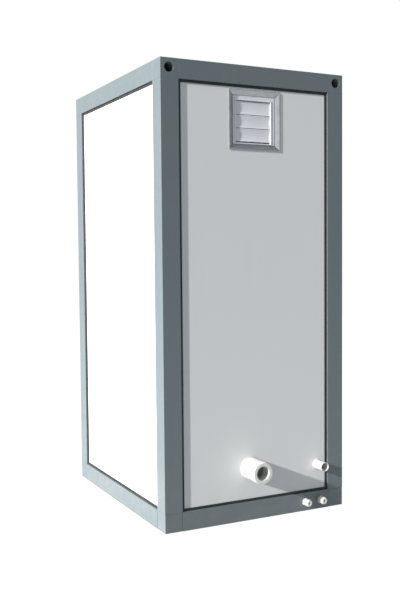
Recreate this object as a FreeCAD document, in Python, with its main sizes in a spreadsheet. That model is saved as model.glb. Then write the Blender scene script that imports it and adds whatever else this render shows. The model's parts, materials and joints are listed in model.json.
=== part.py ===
"""Portable sanitary cabin: steel frame, sandwich walls, door, vent, WC, basin and plumbing.

Frame: millimetres, +Z up, origin at the middle of the footprint at ground level.
The door is at the -Y end, the exhaust vent and the pipe connections at the +Y end.
"""
import FreeCAD, Part
import math
import os
import Sketcher
from FreeCAD import Placement, Rotation, Vector

doc = FreeCAD.newDocument("SanitaryCabin")
sheet = doc.addObject("Spreadsheet::Sheet", "Dims")
pieces = {}
cells = []


class Size:
    """A length that keeps its value and the sheet expression it comes from."""

    def __init__(self, value, text):
        self.value = value
        self.text = text

    def __add__(self, other):
        other = as_size(other)
        return Size(self.value + other.value, f"({self.text} + {other.text})")

    def __sub__(self, other):
        other = as_size(other)
        return Size(self.value - other.value, f"({self.text} - {other.text})")

    def __mul__(self, factor):
        return Size(self.value * factor, f"({self.text} * {factor})")

    def __truediv__(self, factor):
        return Size(self.value / factor, f"({self.text} / {factor})")

    def __neg__(self):
        return Size(-self.value, f"(0 - {self.text})")

    def __rmul__(self, factor):
        return self * factor

    def __radd__(self, other):
        return as_size(other) + self

    def __rsub__(self, other):
        return as_size(other) - self


def as_size(value):
    """Give a plain number the same form as a sheet dimension."""
    if isinstance(value, Size):
        return value
    return Size(value, f"({value:.6f})")


def cell(name, value):
    """Put one driving dimension in the sheet and return it."""
    row = len(cells) + 1
    cells.append(name)
    sheet.set(f"A{row}", name)
    sheet.set(f"B{row}", str(value))
    sheet.setAlias(f"B{row}", name)
    return Size(value, f"Dims.{name}")


# ---------------------------------------------------------------- driving dimensions
width = cell("width", 1100)
depth = cell("depth", 1300)
height = cell("height", 2400)
member = cell("member", 100)
steel = cell("steel", 3)
recess = cell("recess", 12)
panel = cell("panel_thickness", 50)
lift_radius = cell("lift_radius", 25)
lift_inset = cell("lift_inset", 47)
lift_depth = cell("lift_depth", 70)
gasket_wide = cell("gasket_wide", 14)
vent_x = cell("vent_x", 5)
vent_z = cell("vent_z", 2121)
vent_hole = cell("vent_hole", 250)
vent_trim = cell("vent_trim_side", 310)
vent_proud = cell("vent_proud", 5)
vent_sunk = cell("vent_sunk", 16)
flap_width = cell("flap_width", 205)
flap_pitch = cell("flap_pitch", 70)
soil_x = cell("soil_x", 40)
soil_z = cell("soil_z", 277)
soil_reach = cell("soil_reach", 120)
soil_radius = cell("soil_radius", 55)
waste_x = cell("waste_x", -387)
waste_z = cell("waste_z", 248)
waste_radius = cell("waste_radius", 25)
inlet_spacing = cell("inlet_spacing", 100)
inlet_x = cell("inlet_x", -352)
inlet_z = cell("inlet_z", 50)
leaf_thick = cell("leaf_thick", 40)
door_top = cell("door_top", 2110)
jamb = cell("jamb", 40)
basin_x = cell("basin_x", -350)
basin_y = cell("basin_y", 330)
basin_top = cell("basin_top", 900)
rim_top = cell("rim_top", 500)
seat_hinge_y = cell("seat_hinge_y", 362)
seat_hinge_z = cell("seat_hinge_z", 523)
doc.recompute()

half_w = width / 2
half_d = depth / 2
inner_x = half_w - member
inner_y = half_d - member
floor_top = member
room_top = height - member
face_y = half_d - recess
wall_y = face_y - panel
face_x = half_w - recess
wall_x = face_x - panel


# ---------------------------------------------------------------- building helpers
def bind(thing, prop, value):
    """Set a property from a size, bound to the sheet."""
    size = as_size(value)
    thing.setExpression(prop, size.text)


def place(thing, at):
    """Bind the three coordinates of an object's place."""
    for axis, value in zip("xyz", at):
        bind(thing, f"Placement.Base.{axis}", value)


def box(low, high):
    """A block between two corners."""
    thing = doc.addObject("Part::Box", "Block")
    for prop, a, b in zip(("Length", "Width", "Height"), low, high):
        bind(thing, prop, as_size(b) - a)
    place(thing, low)
    return thing


TURN = {"X": Rotation(Vector(0, 1, 0), 90), "Y": Rotation(Vector(1, 0, 0), -90), "Z": Rotation()}


def rod(start, radius, length, along="Z"):
    """A cylinder from a start point along +X, +Y or +Z."""
    thing = doc.addObject("Part::Cylinder", "Rod")
    bind(thing, "Radius", radius)
    bind(thing, "Height", length)
    thing.Placement = Placement(Vector(), TURN[along])
    place(thing, start)
    return thing


def cut(base, *tools):
    """The base with each tool taken away."""
    result = base
    for tool in tools:
        step = doc.addObject("Part::Cut", "Cut")
        step.Base = result
        step.Tool = tool
        result = step
    return result


def fuse(*shapes):
    """One solid from several."""
    step = doc.addObject("Part::MultiFuse", "Fusion")
    step.Shapes = list(shapes)
    return step


def group(*shapes):
    """Separate solids kept in one node."""
    step = doc.addObject("Part::Compound", "Group")
    step.Links = list(shapes)
    return step


def rounded(base, edge_test, radius):
    """Round the edges of a shape that pass a test."""
    doc.recompute()
    step = doc.addObject("Part::Fillet", "Rounded")
    step.Base = base
    chosen = []
    for number, edge in enumerate(base.Shape.Edges, 1):
        if edge_test(edge):
            chosen.append((number, radius, radius))
    step.Edges = chosen
    return step


def outline(body, role, points):
    """A closed sketch of straight sides whose corners are bound to the sheet."""
    plane = [item for item in body.Origin.OriginFeatures if item.Role == role][0]
    sketch = body.newObject("Sketcher::SketchObject", "Outline")
    sketch.AttachmentSupport = [(plane, "")]
    sketch.MapMode = "FlatFace"
    corners = [(as_size(a), as_size(b)) for a, b in points]
    count = len(corners)
    for index in range(count):
        (a, b), (c, d) = corners[index], corners[(index + 1) % count]
        start = Vector(a.value, b.value, 0)
        end = Vector(c.value, d.value, 0)
        sketch.addGeometry(Part.LineSegment(start, end))
    for index in range(count):
        sketch.addConstraint(Sketcher.Constraint("Coincident", index, 2, (index + 1) % count, 1))
    for index, corner in enumerate(corners):
        for kind, value in zip(("DistanceX", "DistanceY"), corner):
            number = sketch.addConstraint(Sketcher.Constraint(kind, index, 1, value.value))
            sketch.setExpression(f"Constraints[{number}]", value.text)
    return sketch


def prism(points, length, role="XY_Plane", at=(0, 0, 0)):
    """A body padded from an outline; the XZ plane's pad grows towards -Y."""
    body = doc.addObject("PartDesign::Body", "Body")
    sketch = outline(body, role, points)
    pad = body.newObject("PartDesign::Pad", "Pad")
    pad.Profile = sketch
    bind(pad, "Length", length)
    sketch.Visibility = False
    place(body, at)
    return body


def turned(points, at=(0, 0, 0), along="Z"):
    """A body of revolution: points are (radius, distance along the axis)."""
    body = doc.addObject("PartDesign::Body", "Body")
    sketch = outline(body, "XZ_Plane", points)
    spin = body.newObject("PartDesign::Revolution", "Revolution")
    spin.Profile = sketch
    spin.ReferenceAxis = (sketch, ["V_Axis"])
    spin.Angle = 360
    body.Placement = Placement(Vector(), TURN[along])
    place(body, at)
    return body


def ellipse_loft(sections):
    """A solid through level ellipses: (centre x, centre y, z, half x, half y)."""
    rings = []
    for cx, cy, z, across, along in sections:
        ring = doc.addObject("Part::Ellipse", "Ring")
        wide = across > along
        bind(ring, "MajorRadius", max(across, along))
        bind(ring, "MinorRadius", min(across, along))
        spin = Rotation() if wide else Rotation(Vector(0, 0, 1), 90)
        ring.Placement = Placement(Vector(), spin)
        place(ring, (cx, cy, z))
        rings.append(ring)
    loft = doc.addObject("Part::Loft", "Loft")
    loft.Sections = rings
    loft.Solid = True
    return loft


def bent_path(points, bend):
    """A wire of straight runs joined by tangent arcs of one radius."""
    points = [Vector(*point) for point in points]
    edges = []
    last = points[0]
    for index in range(1, len(points) - 1):
        corner = points[index]
        back = (points[index - 1] - corner).normalize()
        ahead = (points[index + 1] - corner).normalize()
        turn = math.pi - back.getAngle(ahead)
        trim = bend * math.tan(turn / 2)
        middle = (back + ahead).normalize()
        start = corner + back * trim
        end = corner + ahead * trim
        top = corner + middle * (bend / math.cos(turn / 2) - bend)
        edges.append(Part.LineSegment(last, start).toShape())
        edges.append(Part.Arc(start, top, end).toShape())
        last = end
    edges.append(Part.LineSegment(last, points[-1]).toShape())
    return Part.Wire(edges)


def bent_tube(points, bend, radius, bore=0):
    """A round tube swept along straight runs and arcs, open when it has a bore."""
    path = bent_path(points, bend)
    ahead = Vector(*points[1]) - Vector(*points[0])

    def sweep(r):
        ring = Part.Wire(Part.makeCircle(r, Vector(*points[0]), ahead))
        return path.makePipeShell([ring], True, False)

    solid = sweep(radius)
    if bore:
        solid = solid.cut(sweep(bore))
    thing = doc.addObject("Part::Feature", "Tube")
    thing.Shape = solid
    return thing


def keep(name, thing):
    """Name a finished piece."""
    thing.Label = name
    pieces[name] = thing


# ---------------------------------------------------------------- frame
def square_tube(low, high, along):
    """A hollow square member, open at its two ends."""
    wall = [0 if axis == along else steel for axis in "XYZ"]
    inner_low = [a + w for a, w in zip(low, wall)]
    inner_high = [b - w for b, w in zip(high, wall)]
    return cut(box(low, high), box(inner_low, inner_high))


def corner_spots():
    """The low corner of each of the four upright members."""
    return [(x, y) for x in (-half_w, inner_x) for y in (-half_d, inner_y)]


def corner_posts():
    """Four upright hollow members between the corner blocks."""
    posts = []
    for x, y in corner_spots():
        posts.append(square_tube((x, y, floor_top), (x + member, y + member, room_top), "Z"))
    return group(*posts)


def corner_blocks(bottom, drilled):
    """Four corner blocks; the upper ones have a blind lifting hole in the end faces."""
    blocks = []
    for x, y in corner_spots():
        block = box((x, y, bottom), (x + member, y + member, bottom + member))
        if drilled:
            side = 1 if x.value > 0 else -1
            hole_x = (half_w - lift_inset) * side
            hole_y = half_d - lift_depth if y.value > 0 else -half_d
            hole_z = height - lift_inset
            block = cut(block, rod((hole_x, hole_y, hole_z), lift_radius, lift_depth, "Y"))
        blocks.append(block)
    return group(*blocks)


def rails(bottom, drilled):
    """Four level members between the corner blocks; inlet tails pass the lower rear one."""
    top = bottom + member
    made = []
    for y in (-half_d, inner_y):
        rail = square_tube((-inner_x, y, bottom), (inner_x, y + member, top), "X")
        if drilled and y.value > 0:
            holes = [rod((x, inner_y - 1, inlet_z), 12.5, member + 2, "Y") for x in inlet_places()]
            rail = cut(rail, *holes)
        made.append(rail)
    for x in (-half_w, inner_x):
        made.append(square_tube((x, -inner_y, bottom), (x + member, inner_y, top), "Y"))
    return group(*made)


def inlet_places():
    """The two supply inlets' x positions, cold first."""
    return [inlet_x - inlet_spacing / 2, inlet_x + inlet_spacing / 2]


keep("corner_posts", corner_posts())
keep("top_corner_blocks", corner_blocks(room_top, True))
keep("bottom_corner_blocks", corner_blocks(as_size(0), False))
keep("top_rails", rails(room_top, False))
keep("bottom_rails", rails(as_size(0), True))

# ---------------------------------------------------------------- floor and roof
joists = []
for joist_y in (-400, -200, 0, 200, 400):
    underside = 0 if joist_y == 0 else 18
    joists.append(box((-inner_x, joist_y - 20, underside), (inner_x, joist_y + 20, 78)))
keep("floor_joists", group(*joists))
riser_y = 460
riser_places = (-440, -302)
deck = box((-inner_x, -inner_y, 78), (inner_x, inner_y, floor_top))
risers = [rod((x, riser_y, 70), 9, 40) for x in riser_places]
keep("floor_deck", cut(deck, *risers))
keep("roof_sheet", box((-inner_x, -inner_y, height - 22), (inner_x, inner_y, height - 16)))
keep("ceiling_panel", box((-inner_x, -inner_y, room_top), (inner_x, inner_y, room_top + panel)))


# ---------------------------------------------------------------- walls and gaskets
def wall_hole_block(side):
    """A square block through the rear wall, centred on the vent."""
    low = (vent_x - side / 2, wall_y - 20, vent_z - side / 2)
    return box(low, (vent_x + side / 2, face_y + 60, vent_z + side / 2))


def rear_wall_panel():
    """The rear sandwich panel with its vent, soil and waste openings."""
    plate = [(-inner_x, floor_top), (inner_x, floor_top), (inner_x, room_top), (-inner_x, room_top)]
    sheet_body = prism(plate, panel, "XZ_Plane", (0, face_y, 0))
    pocket = box(
        (vent_x - vent_trim / 2 + 4, face_y - vent_sunk - 0.3, vent_z - vent_trim / 2 + 4),
        (vent_x + vent_trim / 2 - 4, face_y + 1, vent_z + vent_trim / 2 - 4),
    )
    soil = rod((soil_x, wall_y - 20, soil_z), soil_radius + 1, 120, "Y")
    waste = rod((waste_x, wall_y - 20, waste_z), waste_radius + 1, 120, "Y")
    return cut(sheet_body, pocket, wall_hole_block(vent_hole), soil, waste)


def side_wall_panel(side):
    """A side sandwich panel; side is -1 or +1."""
    x = face_x if side < 0 else wall_x
    plate = [(wall_x, -inner_y), (face_x, -inner_y), (face_x, inner_y), (wall_x, inner_y)]
    if side < 0:
        plate = [(-a, b) for a, b in plate]
    return prism(plate, room_top - floor_top, "XY_Plane", (0, 0, floor_top))


keep("rear_wall_panel", rear_wall_panel())
keep("left_wall_panel", side_wall_panel(-1))
keep("right_wall_panel", side_wall_panel(1))

gasket_low = floor_top + gasket_wide
gasket_high = room_top - gasket_wide
rear_ring = box((-inner_x, face_y, floor_top), (inner_x, face_y + 4, room_top))
rear_gap = box(
    (-inner_x + gasket_wide, face_y - 1, gasket_low),
    (inner_x - gasket_wide, face_y + 5, gasket_high),
)
keep("rear_gasket", cut(rear_ring, rear_gap))
side_rings = []
for side in (-1, 1):
    low_x = face_x if side > 0 else -face_x - 4
    ring = box((low_x, -inner_y, floor_top), (low_x + 4, inner_y, room_top))
    low = (low_x - 1, -inner_y + gasket_wide, gasket_low)
    side_rings.append(cut(ring, box(low, (low_x + 5, inner_y - gasket_wide, gasket_high))))
keep("side_gaskets", group(*side_rings))

# ---------------------------------------------------------------- door frame and leaf
door_face = -half_d + 10
leaf_half = inner_x - jamb - 4
leaf_low = floor_top + 24
leaf_high = door_top - 4
leaf_back = door_face + leaf_thick
handle_x = 350
handle_z = 1100
bolt_z = 1020
hinge_x = -leaf_half - 2
hinge_y = door_face - 10
hinge_heights = (350, 1100, 1900)
keep_low = as_size(1000)
keep_split = as_size(1038)
keep_high = as_size(1160)


def door_frame():
    """An outer frame, a lining cut away at the two keeps, and the stop behind the leaf."""
    seat_low, seat_high = floor_top + 20, door_top
    inside, lining_in, stop_in = leaf_half + 18, leaf_half + 4, leaf_half - 16
    front, back = door_face, door_face + 80
    outer = cut(
        box((-inner_x, front, floor_top), (inner_x, back, door_top + jamb)),
        box((-inside, front - 1, seat_low), (inside, back + 1, seat_high)),
    )
    stop = cut(
        box((-lining_in, leaf_back + 2, seat_low), (lining_in, back, seat_high)),
        box((-stop_in, leaf_back, seat_low + 10), (stop_in, back + 1, seat_high - 20)),
    )
    linings = [
        box((-inside, front, seat_low), (-lining_in, back, seat_high)),
        box((lining_in, front, seat_low), (inside, back, keep_low)),
        box((lining_in, leaf_back - 7, keep_low), (inside, back, keep_high)),
        box((lining_in, front, keep_high), (inside, back, seat_high)),
        box((lining_in, front, keep_low), (inside, front + 10, keep_split)),
    ]
    return group(outer, stop, *linings)


def door_leaf():
    """The insulated leaf, drilled for the handle, the bolt turn and the two bolts."""
    leaf = box((-leaf_half, door_face, leaf_low), (leaf_half, leaf_back, leaf_high))
    handle_hole = rod((handle_x, door_face - 5, handle_z), 11, 60, "Y")
    turn_hole = rod((handle_x, door_face - 5, bolt_z), 6, 60, "Y")
    latch_slot = box(
        (handle_x + 5, door_face + 12, handle_z - 10.5),
        (leaf_half + 1, door_face + 28, handle_z + 10.5),
    )
    bolt_slot = box((366, door_face + 14, bolt_z - 9), (leaf_half + 1, door_face + 26, bolt_z + 9))
    return cut(leaf, handle_hole, turn_hole, latch_slot, bolt_slot)


def hinge_half(on_leaf):
    """One side of the three butt hinges: knuckles, plate and the web that joins them."""
    side = 1 if on_leaf else -1
    spans = [(-15, 15)] if on_leaf else [(-50, -15.3), (15.3, 50)]
    near, far, end = (hinge_x + side * reach for reach in (5, 12, 36))
    plate_left, plate_right = (near, end) if on_leaf else (end, near)
    web_left, web_right = (near, far) if on_leaf else (far, near)
    made = []
    for middle in hinge_heights:
        for low, high in spans:
            barrel = rod((hinge_x, hinge_y, middle + low), 7, high - low)
            plate = box((plate_left, door_face - 3, middle + low), (plate_right, door_face, middle + high))
            web = box((web_left, door_face - 12, middle + low), (web_right, door_face, middle + high))
            bore = rod((hinge_x, hinge_y, middle + low - 1), 4.05, high - low + 2)
            made.append(cut(fuse(barrel, plate, web), bore))
    return made


def hinge_pins():
    """The three hinge pins with their heads."""
    made = []
    for middle in hinge_heights:
        shank = rod((hinge_x, hinge_y, middle - 51), 4, 102)
        made.append(fuse(shank, rod((hinge_x, hinge_y, middle + 50.2), 6.5, 3)))
    return made


keep("door_frame", door_frame())
keep("door_transom", box((-inner_x, door_face + 2, door_top + jamb), (inner_x, door_face + 52, room_top)))
keep("door_leaf", door_leaf())
keep("hinge_frame_plates", group(*hinge_half(False), *hinge_pins()))
keep("hinge_leaf_plates", group(*hinge_half(True)))


def lever(outside):
    """A lever handle: a round neck and a bar towards the hinge side, joined by the spindle."""
    if outside:
        neck = rod((handle_x, door_face - 52, handle_z), 10.5, 52 + leaf_thick / 2, "Y")
        bar_y = door_face - 52
    else:
        neck = rod((handle_x, door_face + leaf_thick / 2, handle_z), 10.5, 52 + leaf_thick / 2, "Y")
        bar_y = leaf_back + 52
    bar = rod((handle_x - 115, bar_y, handle_z), 9, 120, "X")
    tip = doc.addObject("Part::Sphere", "Tip")
    tip.Radius = 9
    place(tip, (handle_x - 115, bar_y, handle_z))
    ball = doc.addObject("Part::Sphere", "Knee")
    ball.Radius = 10.5
    place(ball, (handle_x, bar_y, handle_z))
    return fuse(neck, bar, tip, ball)


keep("outer_handle", lever(True))
keep("inner_handle", lever(False))
plates = []
for low_y in (door_face - 4, leaf_back):
    plate = box((handle_x - 24, low_y, bolt_z - 45), (handle_x + 24, low_y + 4, handle_z + 50))
    neck_hole = rod((handle_x, low_y - 1, handle_z), 11, 6, "Y")
    turn_hole = rod((handle_x, low_y - 1, bolt_z), 6, 6, "Y")
    plates.append(cut(plate, neck_hole, turn_hole))
keep("handle_plates", group(*plates))
latch_low = (handle_x + 25, door_face + 13, handle_z - 10)
keep("latch_bolt", box(latch_low, (leaf_half + 12, door_face + 27, handle_z + 10)))
bolt_low = (handle_x + 21, door_face + 15, bolt_z - 8)
keep("dead_bolt", box(bolt_low, (leaf_half - 1, door_face + 25, bolt_z + 8)))
turn_shaft = rod((handle_x, door_face - 7, bolt_z), 5.5, leaf_thick + 24, "Y")
turn_knob = box((handle_x - 5, leaf_back + 6, bolt_z - 18), (handle_x + 5, leaf_back + 26, bolt_z + 18))
turn_disc = rod((handle_x, door_face - 7, bolt_z), 14, 2.5, "Y")
keep("thumb_turn", fuse(turn_shaft, turn_knob, turn_disc))
strike_low = (leaf_half + 16, door_face + 1, keep_split + 3)
keep("strike_plate", box(strike_low, (leaf_half + 18, leaf_back - 8, keep_high - 1)))

# ---------------------------------------------------------------- exhaust vent and fan


def square_about_vent(side, back, front):
    """A square block centred on the vent, between two distances from the panel's face."""
    low = (vent_x - side / 2, face_y + back, vent_z - side / 2)
    return box(low, (vent_x + side / 2, face_y + front, vent_z + side / 2))


def vent_trim_frame():
    """The metal surround, let into the rear wall, its front sloping down to the opening."""
    flange = square_about_vent(vent_trim, 0, vent_proud)
    sunk = square_about_vent(vent_trim - 9, -vent_sunk, 0)
    slope = doc.addObject("Part::Wedge", "Slope")
    wide = vent_trim / 2 - 4
    narrow = vent_hole / 2
    ends = {"X": narrow, "Z": narrow, "X2": wide, "Z2": wide}
    for name, reach in ends.items():
        bind(slope, name + "min", -reach)
        bind(slope, name + "max", reach)
    bind(slope, "Ymin", 4 - vent_sunk)
    bind(slope, "Ymax", vent_proud)
    place(slope, (vent_x, face_y, vent_z))
    return cut(fuse(flange, sunk), slope, wall_hole_block(vent_hole))


louvre_half = vent_hole / 2
flap_left = vent_x + 4.5 - flap_width / 2
flap_right = flap_left + flap_width
flap_first = vent_z + 94
flap_y = face_y - 14


def louvre_frame():
    """The white plastic louvre rim with pin holes for the three flaps."""
    low = (vent_x - louvre_half, wall_y, vent_z - louvre_half)
    rim = box(low, (vent_x + louvre_half, face_y - 8, vent_z + louvre_half))
    low = (flap_left - 1, wall_y - 1, flap_first - 3 * flap_pitch - 2)
    way = box(low, (flap_right + 1, face_y + 13, flap_first + 7))
    holes = []
    for number in range(3):
        at = (flap_left - 6, flap_y, flap_first - number * flap_pitch)
        holes.append(rod(at, 2.05, flap_width + 12, "X"))
    return cut(rim, way, *holes)


def flap(number):
    """One hanging flap: a rolled upper edge, its pins and a thin blade."""
    top = flap_first - number * flap_pitch
    roll = rod((flap_left, flap_y, top), 4, flap_width, "X")
    pin = rod((flap_left - 5, flap_y, top), 2, flap_width + 10, "X")
    blade = box((flap_left, flap_y + 1.5, top - flap_pitch + 6), (flap_right, flap_y + 4, top))
    return fuse(roll, pin, blade)


keep("vent_trim", vent_trim_frame())
keep("louvre_frame", louvre_frame())
for number, name in enumerate(("vent_flap_top", "vent_flap_middle", "vent_flap_bottom")):
    keep(name, flap(number))

fan_back = wall_y - 64
duct = turned([(92, 0), (98, 0), (98, 60), (150, 60), (150, 64), (92, 64)], (vent_x, fan_back, vent_z), "Y")


def vane(low, high, y, spin):
    """A block given by its corners about the fan axis, turned about that axis."""
    block = doc.addObject("Part::Box", "Vane")
    block.Length, block.Width, block.Height = (b - a for a, b in zip(low, high))
    axis_point = Vector(vent_x.value, y.value, vent_z.value)
    block.Placement = Placement(axis_point + spin.multVec(Vector(*low)), spin)
    return block


about_y = Vector(0, 1, 0)
spokes = [vane((-4, 0, 25), (4, 6, 95), fan_back + 2, Rotation(about_y, 120 * n)) for n in range(3)]
duct_bore = rod((vent_x, fan_back - 1, vent_z), 30.3, 80, "Y")
keep("fan_housing", cut(fuse(duct, *spokes), duct_bore))
motor = rod((vent_x, fan_back + 1, vent_z), 30, 22, "Y")
shaft = rod((vent_x, fan_back + 1, vent_z), 3, 48, "Y")
keep("fan_motor", fuse(motor, shaft))
hub = rod((vent_x, fan_back + 26, vent_z), 28, 24, "Y")
pitch_turn = Rotation(Vector(0, 0, 1), 35)
blades = [hub]
for number in range(5):
    spin = Rotation(about_y, 72 * number).multiply(pitch_turn)
    blades.append(vane((-17, -1, 24), (17, 1, 85), fan_back + 38, spin))
shaft_hole = rod((vent_x, fan_back + 25, vent_z), 3.05, 30, "Y")
keep("fan_impeller", cut(fuse(*blades), shaft_hole))

# ---------------------------------------------------------------- soil, waste and supply
soil_end = half_d + soil_reach
wall_ring = soil_radius - 3
socket = soil_radius + 4
soil_start = 420
soil_length = soil_end - soil_start
collar_start = face_y - soil_start + 2
soil_profile = [
    (wall_ring, 0), (soil_radius, 0), (soil_radius, collar_start), (socket, collar_start + 3),
    (socket, soil_length - 34), (socket - 3, soil_length - 32), (socket - 3, soil_length - 28),
    (socket, soil_length - 26), (socket, soil_length - 10), (socket - 4.8, soil_length - 10),
    (socket - 4.8, soil_length - 70), (wall_ring, soil_length - 70),
]
keep("soil_coupling", turned(soil_profile, (soil_x, soil_start, soil_z), "Y"))
bush_outer = socket - 4.9
flange_outer = socket - 2
bush_profile = [
    (40, 0), (bush_outer, 0), (bush_outer, 61), (flange_outer, 61), (flange_outer, 67),
    (flange_outer - 2, 69), (37.5, 69), (37.5, 19),
]
keep("soil_bush", turned(bush_profile, (soil_x, soil_end - 69, soil_z), "Y"))

waste_end = half_d + 65
waste_drop = 440
trap_z = 640
waste_path = [
    (basin_x.value, basin_y.value + 38, trap_z), (basin_x.value, waste_drop, trap_z),
    (basin_x.value, waste_drop, waste_z.value), (waste_x.value, waste_drop + 85, waste_z.value),
    (waste_x.value, waste_end.value, waste_z.value),
]
keep("waste_pipe", bent_tube(waste_path, 45, waste_radius.value, waste_radius.value - 2.5))

inlet_profile = [
    (6.5, 0), (12, 0), (12, member + 10), (17, member + 10), (20, member + 13),
    (20, member + 45), (15, member + 52), (6.5, member + 52),
]
inlets = [turned(inlet_profile, (x, inner_y - 10, inlet_z), "Y") for x in inlet_places()]
keep("supply_inlets", group(*inlets))
valve_z = 620
mixer_x = -462
tubes = []
for x, riser_x in zip(inlet_places(), riser_places):
    route = [(x.value, inner_y.value - 10, inlet_z.value)]
    if riser_x != x.value:
        route.append((x.value, riser_y + 45, inlet_z.value))
    route.append((riser_x, riser_y, inlet_z.value))
    route.append((riser_x, riser_y, valve_z))
    tubes.append(bent_tube(route, 16, 7.5))
valves = []
for x in riser_places:
    barrel = rod((x, riser_y, valve_z), 11, 50)
    side = rod((x, riser_y - 34, valve_z + 25), 6, 34, "Y")
    valves.append(fuse(barrel, side))
keep("supply_pipes", group(*tubes, *valves))
for x, name in zip(riser_places, ("cold_valve_handle", "hot_valve_handle")):
    knob = rod((x, riser_y - 52, valve_z + 25), 16, 17.7, "Y")
    wing = box((x - 5, riser_y - 56, valve_z + 2), (x + 5, riser_y - 40, valve_z + 48))
    socket_hole = rod((x, riser_y - 36, valve_z + 25), 6.05, 8, "Y")
    keep(name, cut(fuse(knob, wing), socket_hole))

# ---------------------------------------------------------------- WC
pan_middle = 130
cistern_front = 400
cistern_back = 586


def wc_bowl():
    """The floor-standing pan with its hollow bowl, rear deck and outlet spigot."""
    foot = ellipse_loft([
        (soil_x, pan_middle + 60, floor_top, 115, 190),
        (soil_x, pan_middle + 50, floor_top + 120, 105, 180),
        (soil_x, pan_middle + 10, floor_top + 290, 160, 215),
        (soil_x, pan_middle, rim_top, 182, 232),
    ])
    neck = box((soil_x - 90, pan_middle + 150, floor_top), (soil_x + 90, soil_start - 4, floor_top + 260))
    deck = box((soil_x - 150, pan_middle + 190, rim_top - 110), (soil_x + 150, cistern_back - 6, rim_top))
    spigot = rod((soil_x, pan_middle + 200, soil_z), 50, 130, "Y")
    outside = fuse(foot, neck, deck, spigot)
    bowl = ellipse_loft([
        (soil_x, pan_middle + 20, floor_top + 190, 55, 70),
        (soil_x, pan_middle - 10, floor_top + 280, 115, 150),
        (soil_x, pan_middle - 25, rim_top + 1, 138, 175),
    ])
    outlet = rod((soil_x, pan_middle + 240, soil_z), 44, 140, "Y")
    return cut(outside, bowl, outlet)


keep("wc_bowl", wc_bowl())
tank = box((soil_x - 180, cistern_front, rim_top), (soil_x + 180, cistern_back, rim_top + 340))
tank_inside = box(
    (soil_x - 170, cistern_front + 10, rim_top + 12),
    (soil_x + 170, cistern_back - 10, rim_top + 341),
)
tank_hole = rod((soil_x, 493, rim_top - 1), 30, 20)
keep("wc_cistern", cut(tank, tank_inside, tank_hole))
cover = box(
    (soil_x - 184, cistern_front - 3, rim_top + 340),
    (soil_x + 184, cistern_back + 1, rim_top + 372),
)
button_bore = rod((soil_x, 493, rim_top + 339), 21, 40)
keep("cistern_lid", cut(cover, button_bore))
button_stem = rod((soil_x, 493, rim_top + 300), 4, 61)
keep("flush_button", fuse(rod((soil_x, 493, rim_top + 360), 20.5, 18), button_stem))
valve_tower = rod((soil_x, 493, rim_top + 12.5), 34, 260)
keep("flush_valve", cut(valve_tower, rod((soil_x, 493, rim_top + 200), 5, 80)))


def oval_plate(thick, across, along, low_z, ear_half, ear_end):
    """An oval slab whose rear end reaches the hinge."""
    slab = doc.addObject("Part::Ellipse", "Oval")
    bind(slab, "MajorRadius", along)
    bind(slab, "MinorRadius", across)
    slab.Placement = Placement(Vector(), Rotation(Vector(0, 0, 1), 90))
    place(slab, (soil_x, seat_hinge_y - 22 - along, low_z))
    face = doc.addObject("Part::Face", "OvalFace")
    face.Sources = [slab]
    body = doc.addObject("Part::Extrusion", "OvalBody")
    body.Base = face
    body.Dir = Vector(0, 0, thick)
    body.Solid = True
    ear_low = (soil_x - ear_half, seat_hinge_y - 60, low_z)
    ear = box(ear_low, (soil_x + ear_half, seat_hinge_y - ear_end, as_size(low_z) + thick))
    return fuse(body, ear)


seat_low = rim_top + 3
seat = cut(oval_plate(18, 184, 222, seat_low, 70, 20), ellipse_loft([
    (soil_x, pan_middle - 22, seat_low - 1, 112, 146),
    (soil_x, pan_middle - 22, seat_low + 20, 118, 152),
]))
seat_eye = rod((soil_x - 70, seat_hinge_y, seat_hinge_z), 8, 18, "X")
seat_arm = box((soil_x - 70, seat_hinge_y - 20, seat_low), (soil_x - 52, seat_hinge_y, seat_low + 18))
seat_eye_2 = rod((soil_x + 52, seat_hinge_y, seat_hinge_z), 8, 18, "X")
seat_arm_2 = box((soil_x + 52, seat_hinge_y - 20, seat_low), (soil_x + 70, seat_hinge_y, seat_low + 18))
pin_way = rod((soil_x - 100, seat_hinge_y, seat_hinge_z), 4.05, 200, "X")
keep("wc_seat", cut(fuse(seat, seat_arm, seat_arm_2, seat_eye, seat_eye_2), pin_way))


def wc_lid():
    """The lid, made closed and then turned up to stand open behind the seat."""
    lid_low = seat_low + 22
    slab = oval_plate(12, 186, 224, lid_low, 40, 6)
    eye = rod((soil_x - 40, seat_hinge_y, seat_hinge_z), 8, 80, "X")
    arm = box((soil_x - 40, seat_hinge_y - 20, lid_low), (soil_x + 40, seat_hinge_y + 4, lid_low + 12))
    way = rod((soil_x - 100, seat_hinge_y, seat_hinge_z), 4.05, 200, "X")
    closed = cut(fuse(slab, arm, eye), way)
    doc.recompute()
    open_lid = doc.addObject("Part::Feature", "OpenLid")
    open_lid.Shape = closed.Shape
    centre = Vector(0, seat_hinge_y.value, seat_hinge_z.value)
    open_lid.Placement = Placement(Vector(), Rotation(Vector(-1, 0, 0), 91), centre)
    return open_lid


keep("wc_lid", wc_lid())
hinge_parts = [rod((soil_x - 92, seat_hinge_y, seat_hinge_z), 4, 184, "X")]
for x in (soil_x - 92, soil_x + 76):
    hinge_parts.append(box((x, seat_hinge_y - 9, rim_top), (x + 16, seat_hinge_y + 9, seat_hinge_z + 8)))
keep("seat_hinges", fuse(*hinge_parts))

# ---------------------------------------------------------------- wash basin
basin_back = -wall_x


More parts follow.
